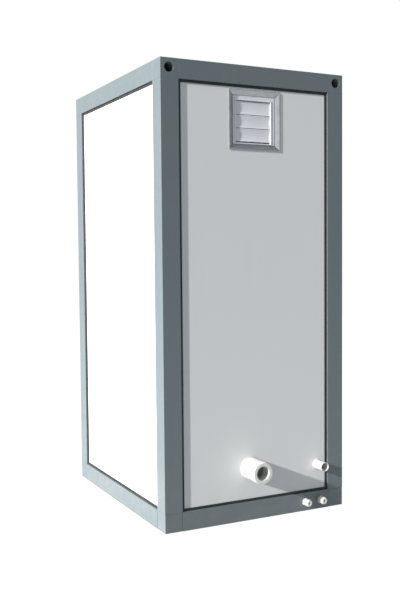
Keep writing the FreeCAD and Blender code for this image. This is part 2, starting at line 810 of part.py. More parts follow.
def wash_basin():
    """The wall-hung basin with an oval bowl and a tap deck along the wall."""
    low = (basin_back, basin_y - 200, basin_top - 130)
    body = rounded(box(low, (basin_back + 240, basin_y + 200, basin_top)), is_free_corner, 30)
    bowl = ellipse_loft([
        (basin_x, basin_y, basin_top - 112, 45, 70),
        (basin_x, basin_y, basin_top - 60, 78, 140),
        (basin_x, basin_y, basin_top + 1, 88, 172),
    ])
    drain = rod((basin_x, basin_y, basin_top - 131), 21, 30)
    tap_hole = rod((mixer_x, basin_y, basin_top - 131), 16, 132)
    return cut(body, bowl, drain, tap_hole)


def is_free_corner(edge):
    """Upright edges on the room side."""
    box_of = edge.BoundBox
    return box_of.ZLength > 100 and box_of.XMin > basin_back.value + 10


keep("wash_basin", wash_basin())
mixer_spout = rod((mixer_x, basin_y, basin_top + 42), 10, 105, "X")
mixer_low = fuse(rod((mixer_x, basin_y, basin_top), 20, 60), mixer_spout)
shank = rod((mixer_x, basin_y, basin_top - 150), 14, 151)
mixer_way = rod((mixer_x + 94, basin_y, basin_top + 20), 6, 22)
mixer_mouth = rod((mixer_x + 94, basin_y, basin_top + 24), 9, 20)
keep("mixer_body", cut(fuse(mixer_low, shank, mixer_mouth), mixer_way))
pivot_z = basin_top + 82
cap_neck = box((mixer_x - 6, basin_y - 5, basin_top + 74), (mixer_x + 6, basin_y + 5, pivot_z + 6))
cap_pin = rod((mixer_x, basin_y - 12, pivot_z), 4, 24, "Y")
keep("mixer_cap", fuse(rod((mixer_x, basin_y, basin_top + 60.2), 19, 14), cap_neck, cap_pin))
lever_arm = box((mixer_x, basin_y - 12, pivot_z - 1), (mixer_x + 95, basin_y + 12, pivot_z + 7))
lever_hub = rod((mixer_x, basin_y - 12, pivot_z), 7.5, 24, "Y")
lever_slot = box((mixer_x - 12, basin_y - 5.3, pivot_z - 12), (mixer_x + 13, basin_y + 5.3, pivot_z + 12))
lever_eye = rod((mixer_x, basin_y - 13, pivot_z), 4.05, 26, "Y")
keep("mixer_lever", cut(fuse(lever_arm, lever_hub), lever_slot, lever_eye))
trap_top = basin_top - 131
tail = rod((basin_x, basin_y, trap_z + 20), 16, trap_top - trap_z - 20)
cup = rod((basin_x, basin_y, trap_z - 45), 30, 75)
trap_arm = rod((basin_x, basin_y, trap_z), 20, 46, "Y")
waste_flange = rod((basin_x, basin_y, trap_top - 1), 20.5, 21)
keep("bottle_trap", fuse(tail, cup, trap_arm, waste_flange))

# ---------------------------------------------------------------- room fittings
mirror_low = (basin_back, basin_y - 200, 1150)
keep("mirror", box(mirror_low, (basin_back + 6, basin_y + 200, 1750)))
light_base = rod((0, -100, room_top - 8), 120, 8)
light_dome = doc.addObject("Part::Sphere", "Dome")
light_dome.Radius = 260
place(light_dome, (0, -100, room_top - 8 + 225))
dome = doc.addObject("Part::Common", "DomeSlice")
dome.Base = light_dome
dome.Tool = rod((0, -100, room_top - 60), 118, 53)
keep("ceiling_light", fuse(light_base, dome))
switch_y = -440
switch_z = 1240
plate = box((wall_x - 8, switch_y - 42, switch_z - 42), (wall_x, switch_y + 42, switch_z + 42))
pocket = box((wall_x - 9, switch_y - 16, switch_z - 26), (wall_x - 2, switch_y + 16, switch_z + 26))
pivot_way = rod((wall_x - 5, switch_y - 19, switch_z), 1.55, 38, "Y")
keep("switch_plate", cut(plate, pocket, pivot_way))
paddle = box((wall_x - 11, switch_y - 15.4, switch_z - 25), (wall_x - 4.6, switch_y + 15.4, switch_z + 25))
keep("switch_rocker", fuse(paddle, rod((wall_x - 5, switch_y - 18.5, switch_z), 1.5, 37, "Y")))
roll_x = 415
roll_y = 60
roll_z = 760
bar = rod((roll_x, roll_y - 62, roll_z), 6, 124, "Y")
arms = [box((roll_x - 8, y, roll_z - 8), (wall_x, y + 5, roll_z + 8)) for y in (roll_y - 62, roll_y + 57)]
keep("roll_holder", fuse(bar, *arms))
roll_profile = [(19, 0), (55, 0), (55, 100), (19, 100)]
keep("toilet_roll", turned(roll_profile, (roll_x, roll_y - 50, roll_z - 12.9), "Y"))

# ---------------------------------------------------------------- check and write
doc.recompute()
broken = []
for thing in doc.Objects:
    if "Invalid" in thing.State or "Error" in thing.State:
        broken.append(thing.Name)
for name, thing in pieces.items():
    shape = thing.Shape
    if shape.isNull() or not shape.isValid() or not shape.Solids:
        broken.append(name)
if broken:
    raise SystemExit(f"failed objects: {broken}")
os.makedirs("parts", exist_ok=True)
for name, thing in pieces.items():
    thing.Shape.exportStep(f"parts/{name}.step")
    print(name, len(thing.Shape.Solids), round(thing.Shape.Volume / 1000))
print(len(pieces), "nodes")
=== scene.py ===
"""Looks for the portable sanitary cabin: painted steel frame, coated panels, plastics and ware.

Every piece is in metres, in the cabin's own frame: +Z up, door at -Y, vent and pipes at +Y.
"""
import json
import logging
import math
from dataclasses import dataclass
from enum import Enum
from typing import Sequence

import bmesh
import bpy
from mathutils import Matrix, Vector


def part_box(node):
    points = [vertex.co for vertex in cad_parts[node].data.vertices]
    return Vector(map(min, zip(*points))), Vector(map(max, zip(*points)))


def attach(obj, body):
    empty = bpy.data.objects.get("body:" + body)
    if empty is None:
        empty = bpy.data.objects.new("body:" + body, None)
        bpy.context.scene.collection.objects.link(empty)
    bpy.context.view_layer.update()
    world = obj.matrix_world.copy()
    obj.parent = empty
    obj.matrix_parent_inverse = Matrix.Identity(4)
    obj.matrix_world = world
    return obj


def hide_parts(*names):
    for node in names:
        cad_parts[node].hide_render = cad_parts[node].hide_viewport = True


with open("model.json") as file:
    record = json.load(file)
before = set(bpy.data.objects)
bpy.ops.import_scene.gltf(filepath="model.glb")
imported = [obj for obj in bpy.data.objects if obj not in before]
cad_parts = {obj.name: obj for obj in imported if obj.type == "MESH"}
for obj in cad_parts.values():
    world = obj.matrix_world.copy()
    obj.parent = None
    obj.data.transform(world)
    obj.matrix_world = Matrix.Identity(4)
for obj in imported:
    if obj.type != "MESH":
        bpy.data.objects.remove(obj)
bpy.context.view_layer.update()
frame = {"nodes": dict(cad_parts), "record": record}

Colour = tuple[float, float, float]
Point = tuple[float, float, float]
NODES = frame["nodes"]
MM = 0.001
MEMBER = 0.1
log = logging.getLogger("cabin")


# ------------------------------------------------------------------ materials
class NodeSheet:
    """A material's node tree, with a short call for each node that the finishes use."""

    def __init__(self, name: str, base: Colour, roughness: float, metallic: float = 0.0) -> None:
        """Start a material.

        Args:
            name: the material's name.
            base: its plain colour, linear.
            roughness: its plain roughness.
            metallic: 1 for bare metal.
        """
        self.material = bpy.data.materials.new(name)
        self.material.use_nodes = True
        self.tree = self.material.node_tree
        self.shader = self.tree.nodes["Principled BSDF"]
        self.set("Base Color", (*base, 1.0))
        self.set("Roughness", roughness)
        self.set("Metallic", metallic)
        self.place = self.tree.nodes.new("ShaderNodeTexCoord").outputs["Object"]

    def set(self, socket: str, value: object) -> None:
        """Set a constant on the shader's own socket."""
        self.shader.inputs[socket].default_value = value

    def link(self, output: bpy.types.NodeSocket, target: bpy.types.NodeSocket) -> None:
        """Join two sockets."""
        self.tree.links.new(output, target)

    def drive(self, socket: str, output: bpy.types.NodeSocket) -> None:
        """Feed one of the shader's sockets from a node."""
        self.link(output, self.shader.inputs[socket])

    def stretched(self, scale: Point) -> bpy.types.NodeSocket:
        """Coordinates scaled differently along each axis.

        Args:
            scale: the factor along X, Y and Z.

        Returns:
            The mapped coordinate socket.
        """
        mapping = self.tree.nodes.new("ShaderNodeMapping")
        mapping.inputs["Scale"].default_value = scale
        self.link(self.place, mapping.inputs["Vector"])
        return mapping.outputs["Vector"]

    def noise(self, scale: float, detail: float = 4.0, stretch: Point = (1, 1, 1)) -> bpy.types.NodeSocket:
        """Cloudy variation.

        Args:
            scale: features per metre.
            detail: how many finer layers.
            stretch: a factor for each axis, for streaks.

        Returns:
            The noise value socket.
        """
        node = self.tree.nodes.new("ShaderNodeTexNoise")
        node.inputs["Scale"].default_value = scale
        node.inputs["Detail"].default_value = detail
        self.link(self.stretched(stretch), node.inputs["Vector"])
        return node.outputs["Fac"]

    def cells(self, scale: float) -> bpy.types.NodeSocket:
        """Cell colours, for spangle and speckle."""
        node = self.tree.nodes.new("ShaderNodeTexVoronoi")
        node.inputs["Scale"].default_value = scale
        self.link(self.place, node.inputs["Vector"])
        return node.outputs["Color"]

    def height(self, low: float, high: float) -> bpy.types.NodeSocket:
        """A value that runs from 1 at one level to 0 at another.

        Args:
            low: the level in metres where it is 1.
            high: the level where it is 0.

        Returns:
            The value socket.
        """
        split = self.tree.nodes.new("ShaderNodeSeparateXYZ")
        self.link(self.place, split.inputs[0])
        return self.levels(split.outputs["Z"], low, high, 1.0, 0.0)

    def levels(self, value: bpy.types.NodeSocket, low: float, high: float,
               start: float = 0.0, end: float = 1.0) -> bpy.types.NodeSocket:
        """Stretch a value's range.

        Args:
            value: the socket to stretch.
            low: the input that gives start.
            high: the input that gives end.
            start: the output at low.
            end: the output at high.

        Returns:
            The stretched, clamped value.
        """
        node = self.tree.nodes.new("ShaderNodeMapRange")
        for name, number in (("From Min", low), ("From Max", high), ("To Min", start), ("To Max", end)):
            node.inputs[name].default_value = number
        self.link(value, node.inputs["Value"])
        return node.outputs["Result"]

    def times(self, first: bpy.types.NodeSocket, second: bpy.types.NodeSocket) -> bpy.types.NodeSocket:
        """The product of two values."""
        node = self.tree.nodes.new("ShaderNodeMath")
        node.operation = "MULTIPLY"
        self.link(first, node.inputs[0])
        self.link(second, node.inputs[1])
        return node.outputs[0]

    def blend(self, share: bpy.types.NodeSocket, first: Colour | bpy.types.NodeSocket,
              second: Colour) -> bpy.types.NodeSocket:
        """Mix two colours.

        Args:
            share: how much of the second.
            first: a colour, or the socket of one.
            second: the other colour.

        Returns:
            The mixed colour socket.
        """
        node = self.tree.nodes.new("ShaderNodeMix")
        node.data_type = "RGBA"
        self.link(share, node.inputs["Factor"])
        colour_a, colour_b = node.inputs[6], node.inputs[7]
        if isinstance(first, tuple):
            colour_a.default_value = (*first, 1.0)
        else:
            self.link(first, colour_a)
        colour_b.default_value = (*second, 1.0)
        return node.outputs[2]

    def bump(self, value: bpy.types.NodeSocket, strength: float, distance: float) -> None:
        """Raise the surface by a value, added to any bump already there.

        Args:
            value: the height socket.
            strength: the share of the effect.
            distance: the height of a full step, in metres.
        """
        node = self.tree.nodes.new("ShaderNodeBump")
        node.inputs["Strength"].default_value = strength
        node.inputs["Distance"].default_value = distance
        self.link(value, node.inputs["Height"])
        before = self.shader.inputs["Normal"]
        if before.is_linked:
            self.link(before.links[0].from_socket, node.inputs["Normal"])
        self.link(node.outputs["Normal"], before)


@dataclass(frozen=True)
class Coating:
    """A painted or coated sheet: faint ripple, cloudy tone, dust low down and thin streaks."""

    name: str
    base: Colour
    dust: Colour
    roughness: float = 0.4
    ripple: float = 0.15
    grime: float = 0.25
    dust_top: float = 0.7

    def make(self) -> bpy.types.Material:
        """Build the material."""
        sheet = NodeSheet(self.name, self.base, self.roughness)
        cloud = sheet.levels(sheet.noise(2.3, 5.0), 0.35, 0.7, 0.0, self.grime * 0.5)
        toned = sheet.blend(cloud, self.base, self.dust)
        streaks = sheet.levels(sheet.noise(14.0, 3.0, (1.0, 1.0, 0.08)), 0.55, 0.8)
        spots = sheet.levels(sheet.noise(9.0, 6.0), 0.4, 0.75)
        splash = sheet.times(sheet.height(0.0, self.dust_top), spots)
        mark = sheet.levels(sheet.times(streaks, sheet.noise(1.4)), 0.1, 0.6, 0.0, self.grime)
        toned = sheet.blend(mark, toned, self.dust)
        toned = sheet.blend(sheet.levels(splash, 0.1, 0.9, 0.0, self.grime * 1.6), toned, self.dust)
        sheet.drive("Base Color", toned)
        wear = sheet.noise(30.0, 5.0)
        sheet.drive("Roughness", sheet.levels(wear, 0.3, 0.7, self.roughness - 0.05, self.roughness + 0.1))
        sheet.bump(sheet.noise(420.0, 2.0), self.ripple, 0.0004)
        sheet.bump(sheet.noise(3.0, 2.0), self.ripple, 0.004)
        return sheet.material


@dataclass(frozen=True)
class Moulding:
    """Moulded plastic or glazed ware: faint mottling, fine skin texture, a soft gloss."""

    name: str
    base: Colour
    shade: Colour
    roughness: float = 0.35
    skin: float = 0.1
    coat: float = 0.0
    mottle: float = 12.0

    def make(self) -> bpy.types.Material:
        """Build the material."""
        sheet = NodeSheet(self.name, self.base, self.roughness)
        sheet.set("Coat Weight", self.coat)
        sheet.set("Coat Roughness", 0.06)
        sheet.set("IOR", 1.5)
        cloud = sheet.levels(sheet.noise(self.mottle, 6.0), 0.4, 0.75, 0.0, 0.5)
        sheet.drive("Base Color", sheet.blend(cloud, self.base, self.shade))
        scuff = sheet.noise(60.0, 6.0, (1.0, 1.0, 0.4))
        rough = sheet.levels(scuff, 0.35, 0.7, self.roughness - 0.06, self.roughness + 0.12)
        sheet.drive("Roughness", rough)
        sheet.bump(sheet.noise(900.0, 2.0), self.skin, 0.0002)
        return sheet.material


@dataclass(frozen=True)
class BareMetal:
    """Bare or plated metal: drawn lines along one way, stains and fine scratches."""

    name: str
    base: Colour
    stain: Colour
    roughness: float = 0.3
    lines: Point = (1.0, 1.0, 30.0)
    depth: float = 0.08

    def make(self) -> bpy.types.Material:
        """Build the material."""
        sheet = NodeSheet(self.name, self.base, self.roughness, 1.0)
        stain = sheet.levels(sheet.noise(25.0, 6.0), 0.45, 0.8, 0.0, 0.6)
        sheet.drive("Base Color", sheet.blend(stain, self.base, self.stain))
        drawn = sheet.noise(60.0, 4.0, self.lines)
        sheet.drive("Roughness", sheet.levels(drawn, 0.3, 0.7, self.roughness * 0.75, self.roughness * 1.3))
        sheet.bump(drawn, self.depth, 0.0002)
        return sheet.material


@dataclass(frozen=True)
class Spangle:
    """Cell-marked surface: galvanised sheet or speckled vinyl."""

    name: str
    base: Colour
    fleck: Colour
    scale: float
    roughness: float
    metallic: float = 0.0

    def make(self) -> bpy.types.Material:
        """Build the material."""
        sheet = NodeSheet(self.name, self.base, self.roughness, self.metallic)
        grey = sheet.tree.nodes.new("ShaderNodeRGBToBW")
        sheet.link(sheet.cells(self.scale), grey.inputs[0])
        share = sheet.levels(grey.outputs[0], 0.2, 0.8, 0.0, 0.8)
        sheet.drive("Base Color", sheet.blend(share, self.base, self.fleck))
        rough = sheet.levels(grey.outputs[0], 0.0, 1.0, self.roughness - 0.1, self.roughness + 0.1)
        sheet.drive("Roughness", rough)
        sheet.bump(sheet.noise(300.0, 3.0), 0.1, 0.0005)
        return sheet.material


class Finish(Enum):
    """The cabin's finishes."""

    FRAME_PAINT = Coating("frame_paint", (0.150, 0.182, 0.198), (0.24, 0.25, 0.24), 0.36, 0.16, 0.22)
    WHITE_PANEL = Coating("white_panel", (0.80, 0.82, 0.83), (0.60, 0.585, 0.54), 0.34, 0.05, 0.07, 0.55)
    ROOM_PANEL = Coating("room_panel", (0.82, 0.83, 0.82), (0.7, 0.69, 0.66), 0.32, 0.10, 0.10, 0.3)
    RUBBER = Moulding("gasket_rubber", (0.018, 0.019, 0.021), (0.05, 0.05, 0.05), 0.7, 0.5)
    # dark plastic for the motor, skirting and mitre lines, and painted shade inside the lifting holes
    DARK_PLASTIC_AND_SHADE = Moulding("dark_plastic", (0.03, 0.032, 0.035), (0.05, 0.05, 0.05), 0.5, 0.3)
    VENT_METAL = BareMetal("vent_aluminium", (0.40, 0.42, 0.44), (0.27, 0.27, 0.28), 0.56, (1, 1, 20))
    WHITE_PLASTIC = Moulding("white_plastic", (0.85, 0.86, 0.91), (0.75, 0.75, 0.78), 0.32, 0.12)
    PVC = Moulding("pipe_pvc", (0.84, 0.84, 0.81), (0.70, 0.69, 0.64), 0.42, 0.12)
    CERAMIC = Moulding("glazed_ware", (0.86, 0.86, 0.85), (0.80, 0.80, 0.79), 0.16, 0.04, 0.6, 4.0)
    CHROME = BareMetal("chrome_plate", (0.72, 0.73, 0.75), (0.58, 0.58, 0.6), 0.12, (1, 1, 1), 0.02)
    STEEL = BareMetal("brushed_steel", (0.50, 0.51, 0.52), (0.36, 0.36, 0.37), 0.33, (30, 1, 1))
    COPPER = BareMetal("copper_tube", (0.62, 0.33, 0.20), (0.32, 0.18, 0.12), 0.32, (1, 1, 8))
    MIRROR = BareMetal("mirror_glass", (0.86, 0.88, 0.88), (0.82, 0.84, 0.84), 0.03, (1, 1, 1), 0.0)
    VINYL = Spangle("speckled_vinyl", (0.30, 0.31, 0.31), (0.17, 0.18, 0.19), 260.0, 0.45)
    ZINC = Spangle("galvanised_sheet", (0.46, 0.48, 0.50), (0.34, 0.36, 0.38), 60.0, 0.42, 0.8)
    OPAL = Moulding("opal_diffuser", (0.90, 0.89, 0.84), (0.84, 0.82, 0.76), 0.4, 0.08)
    PAPER = Moulding("soft_paper", (0.84, 0.83, 0.80), (0.76, 0.74, 0.70), 0.9, 0.9, 0.0, 90.0)


MADE: dict[Finish, bpy.types.Material] = {}


def material(finish: Finish) -> bpy.types.Material:
    """The material of a finish, made once.

    Args:
        finish: which finish.

    Returns:
        Its material.
    """
    if finish not in MADE:
        MADE[finish] = finish.value.make()
    return MADE[finish]


def dress(piece: bpy.types.Object, finish: Finish) -> bpy.types.Object:
    """Give a piece one finish over its whole surface."""
    piece.data.materials.clear()
    piece.data.materials.append(material(finish))
    return piece


# ------------------------------------------------------------------ mesh helpers
def piece_from(name: str, shape: bmesh.types.BMesh, smooth: bool = True) -> bpy.types.Object:
    """Turn a bmesh into a linked object.

    Args:
        name: the piece's name.
        shape: its mesh, freed here.
        smooth: whether its faces are shaded smooth.

    Returns:
        The new object.
    """
    mesh = bpy.data.meshes.new(name)
    bmesh.ops.recalc_face_normals(shape, faces=shape.faces[:])
    shape.to_mesh(mesh)
    shape.free()
    for polygon in mesh.polygons:
        polygon.use_smooth = smooth
    piece = bpy.data.objects.new(name, mesh)
    bpy.context.scene.collection.objects.link(piece)
    return piece


def bevelled(
    piece: bpy.types.Object, width: float, segments: int = 3, angle: float = 30.0
) -> bpy.types.Object:
    """Round the sharp edges of a piece and keep its flats flat.

    Args:
        piece: the mesh object.
        width: the rounding's width in metres.
        segments: how many steps each rounding has.
        angle: edges sharper than this, in degrees, are rounded.

    Returns:
        The same piece.
    """
    rounding = piece.modifiers.new("Rounding", "BEVEL")
    rounding.width = width
    rounding.segments = segments
    rounding.limit_method = "ANGLE"
    rounding.angle_limit = math.radians(angle)
    rounding.use_clamp_overlap = True
    rounding.harden_normals = True
    flats = piece.modifiers.new("Flats", "WEIGHTED_NORMAL")
    flats.keep_sharp = True
    return piece


def part_solids(shape: bmesh.types.BMesh) -> None:
    """Part the solids that meet along an edge, so that each one is closed by itself.

    The faces are walked in the mesh's own order, so that every run gives the same result.

    Args:
        shape: a welded shape of one or more solids.
    """
    left = set(shape.faces)
    groups = []
    for start in shape.faces:
        if start not in left:
            continue
        left.discard(start)
        waiting = [start]
        group = []
        while waiting:
            face = waiting.pop()
            group.append(face)
            for edge in face.edges:
                if len(edge.link_faces) == 2:
                    beside = [other for other in edge.link_faces if other in left]
                    left.difference_update(beside)
                    waiting.extend(beside)
        groups.append(group)
    for group in groups[1:]:
        bmesh.ops.split(shape, geom=group)


def softened(node: str, width: float, finish: Finish, segments: int = 3) -> bpy.types.Object:
    """A copy of a CAD node with rounded edges, which stands for it.

    Args:
        node: the CAD node.
        width: the rounding's width in metres.
        finish: its finish.
        segments: how many steps each rounding has.

    Returns:
        The new piece.
    """
    shape = bmesh.new()
    shape.from_mesh(NODES[node].data)
    bmesh.ops.remove_doubles(shape, verts=shape.verts[:], dist=1e-5)
    part_solids(shape)
    edges = shape.edges[:]
    bmesh.ops.dissolve_limit(shape, angle_limit=math.radians(1.0), verts=shape.verts[:], edges=edges)
    piece = piece_from(f"{node}_skin", shape)
    bevelled(piece, width, segments)
    dress(piece, finish)
    stand_for(piece, node)
    return piece


def stand_for(piece: bpy.types.Object, *nodes: str) -> None:
    """Let a piece replace CAD nodes, riding on the body of the first of them."""
    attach(piece, body_of(nodes[0]))
    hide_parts(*nodes)
    log.info("%s stands for %s", piece.name, ", ".join(nodes))


def add_on(piece: bpy.types.Object, body: str, finish: Finish) -> bpy.types.Object:
    """Dress an extra piece and let it ride on a body.

    Args:
        piece: the piece.
        body: the CAD body it moves with.
        finish: its finish.

    Returns:
        The same piece.
    """
    dress(piece, finish)
    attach(piece, body)
    log.info("%s rides on %s", piece.name, body)
    return piece


def body_of(node: str) -> str:
    """The body that holds a CAD node."""
    groups = frame["record"]["behaviour"]["bodies"]
    return next(body for body, members in groups.items() if node in members)


def add_block(shape: bmesh.types.BMesh, low: Point, high: Point) -> None:
    """Add a block between two corners to a mesh."""
    made = bmesh.ops.create_cube(shape, size=1.0)["verts"]
    middle = [(a + b) / 2 for a, b in zip(low, high)]
    size = [b - a for a, b in zip(low, high)]
    bmesh.ops.scale(shape, vec=size, verts=made)
    bmesh.ops.translate(shape, vec=middle, verts=made)


def bridge(shape: bmesh.types.BMesh, rings: Sequence[Sequence[bmesh.types.BMVert]]) -> None:
    """Join each ring of points to the next one with faces."""
    for first, second in zip(rings, rings[1:]):
        for index in range(len(first)):
            after = (index + 1) % len(first)
            shape.faces.new((first[index], first[after], second[after], second[index]))


def add_turning(shape: bmesh.types.BMesh, profile: Sequence[tuple[float, float]], centre: Point,
                axis: str, steps: int = 48, closed: bool = False) -> None:
    """Add a turned form to a mesh.

    Args:
        shape: the mesh to add to.
        profile: (radius, distance along the axis) pairs.
        centre: where distance 0 is.
        axis: "X", "Y" or "Z".
        steps: how many steps go round.
        closed: whether the profile's last point joins its first.
    """
    order = {"X": (1, 2, 0), "Y": (2, 0, 1), "Z": (0, 1, 2)}[axis]
    rings = []
    for radius, reach in profile:
        ring = []
        for step in range(steps):
            angle = math.tau * step / steps
            local = (radius * math.cos(angle), radius * math.sin(angle), reach)
            spot = [0.0, 0.0, 0.0]
            for target, value in zip(order, local):
                spot[target] = value
            ring.append(shape.verts.new([c + v for c, v in zip(centre, spot)]))
        rings.append(ring)
    bridge(shape, rings + rings[:1] if closed else rings)
    if not closed:
        shape.faces.new(rings[0][::-1])
        shape.faces.new(rings[-1])


def lofted(
    name: str, rings: Sequence[Sequence[Point]], caps: tuple[bool, bool], levels: int = 2
) -> bpy.types.Object:
    """A smooth skin through rings of points.

    Args:
        name: the piece's name.
        rings: closed rings, each with the same number of points.
        caps: whether the first and last rings are closed with a face.
        levels: subdivision levels.

    Returns:
        The new piece.
    """
    shape = bmesh.new()
    made = [[shape.verts.new(point) for point in ring] for ring in rings]
    bridge(shape, made)
    if caps[0]:
        shape.faces.new(made[0][::-1])
    if caps[1]:
        shape.faces.new(made[-1])
    piece = piece_from(name, shape)
    smoothing = piece.modifiers.new("Smooth", "SUBSURF")
    smoothing.levels = smoothing.render_levels = levels
    return piece


def oval(centre: tuple[float, float], z: float, across: float, along: float,
         square: float = 2.0, count: int = 28) -> list[Point]:
    """A level ring between an ellipse and a rectangle.

    Args:
        centre: its middle in X and Y.
        z: its level.
        across: half its width in X.
        along: half its length in Y.
        square: 2 for an ellipse, more for squarer corners.
        count: how many points.

    Returns:
        The ring's points.
    """
    points = []
    for index in range(count):
        angle = math.tau * index / count
        c, s = math.cos(angle), math.sin(angle)
        x = math.copysign(abs(c) ** (2 / square), c) * across
        y = math.copysign(abs(s) ** (2 / square), s) * along
        points.append((centre[0] + x, centre[1] + y, z))
    return points


def middle_of(node: str) -> Vector:
    """The middle of a CAD node's box."""
    low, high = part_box(node)
    return (Vector(low) + Vector(high)) / 2


# ------------------------------------------------------------------ sub-assemblies
@dataclass
class SteelFrame:
    """The painted posts, rails and corner blocks, with the weld beads between them."""

    edge: float = 3.5 * MM
    block_edge: float = 4.0 * MM
    bead: float = 1.3 * MM

    def build(self) -> None:
        """Make and dress the frame."""
        for node in ("corner_posts", "top_rails", "bottom_rails"):
            softened(node, self.edge, Finish.FRAME_PAINT)
        for node in ("top_corner_blocks", "bottom_corner_blocks"):
            softened(node, self.block_edge, Finish.FRAME_PAINT)
        self.welds()
        self.hole_painted_shade()

    def welds(self) -> None:
        """Low weld beads round the ends of the posts."""
        low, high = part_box("corner_posts")
        shape = bmesh.new()
        for z in (low[2], high[2]):
            for x in (low[0], high[0] - MEMBER):
                for y in (low[1], high[1] - MEMBER):
                    inset = self.bead * 0.45
                    add_block(
                        shape,
                        (x - inset, y - inset, z - self.bead),
                        (x + MEMBER + inset, y + MEMBER + inset, z + self.bead),
                    )
        welds = bevelled(piece_from("frame_welds", shape), self.bead * 0.6, 2)
        add_on(welds, "cabin", Finish.FRAME_PAINT)

    def hole_painted_shade(self) -> None:
        """Dark cups at the bottom of the lifting holes, as painted shade for their hollow insides."""
        shape = bmesh.new()
        for mount in frame["record"]["mounts"]:
            if not mount["name"].startswith("lift_"):
                continue
            x, y, z = mount["pos_m"]
            side = math.copysign(1.0, y)
            radius = mount["dims"]["r_mm"] * MM - 0.0004
            wall = radius - 0.001
            near, far = side * -0.0345, side * 0.033
            profile = [(radius, near), (radius, far), (wall, far), (wall, near + side * 0.002)]
            add_turning(shape, profile, (x, y, z), "Y")
        # the dark cups paint the shade that lies inside the hollow lifting holes
        add_on(piece_from("lifting_hole_painted_shade", shape), "cabin", Finish.DARK_PLASTIC_AND_SHADE)


@dataclass
class Shell:
    """Walls, roof, ceiling, floor and the gaskets round the outside panels."""

    skin_edge: float = 1.2 * MM
    gasket_edge: float = 1.5 * MM
    rib_pitch: float = 0.15
    rib_width: float = 0.012
    rib_height: float = 0.004
    rib_end: float = 0.03
    cove: float = 0.008
    cove_rise: float = 0.06

    def build(self) -> None:
        """Make and dress the shell."""
        for node in ("rear_wall_panel", "left_wall_panel", "right_wall_panel", "door_transom"):
            softened(node, self.skin_edge, Finish.WHITE_PANEL, 2)
        softened("ceiling_panel", self.skin_edge, Finish.ROOM_PANEL, 2)
        for node in ("rear_gasket", "side_gaskets"):
            softened(node, self.gasket_edge, Finish.RUBBER, 2)
        dress(NODES["floor_deck"], Finish.VINYL)
        dress(NODES["floor_joists"], Finish.ZINC)
        dress(NODES["roof_sheet"], Finish.ZINC)
        self.roof_ribs()
        self.skirting()

    def roof_ribs(self) -> None:
        """Pressed ribs along the roof sheet."""
        low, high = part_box("roof_sheet")
        shape = bmesh.new()
        count = int((high[0] - low[0]) / self.rib_pitch)
        for number in range(1, count):
            x = low[0] + number * (high[0] - low[0]) / count
            add_block(
                shape,
                (x - self.rib_width, low[1] + self.rib_end, high[2] - 0.001),
                (x + self.rib_width, high[1] - self.rib_end, high[2] + self.rib_height),
            )
        ribs = bevelled(piece_from("roof_ribs", shape), self.rib_height * 0.8)
        add_on(ribs, "cabin", Finish.ZINC)

    def skirting(self) -> None:
        """Coved skirting where the vinyl meets the side walls."""
        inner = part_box("right_wall_panel")[0][0]
        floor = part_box("floor_deck")[1][2]
        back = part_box("corner_posts")[1][1] - MEMBER
        shape = bmesh.new()
        for side in (-1, 1):
            near, far = sorted((side * inner, side * (inner - self.cove)))
            add_block(shape, (near, -back, floor), (far, back, floor + self.cove_rise))
        skirting = bevelled(piece_from("skirting", shape), 0.003)
        add_on(skirting, "cabin", Finish.DARK_PLASTIC_AND_SHADE)


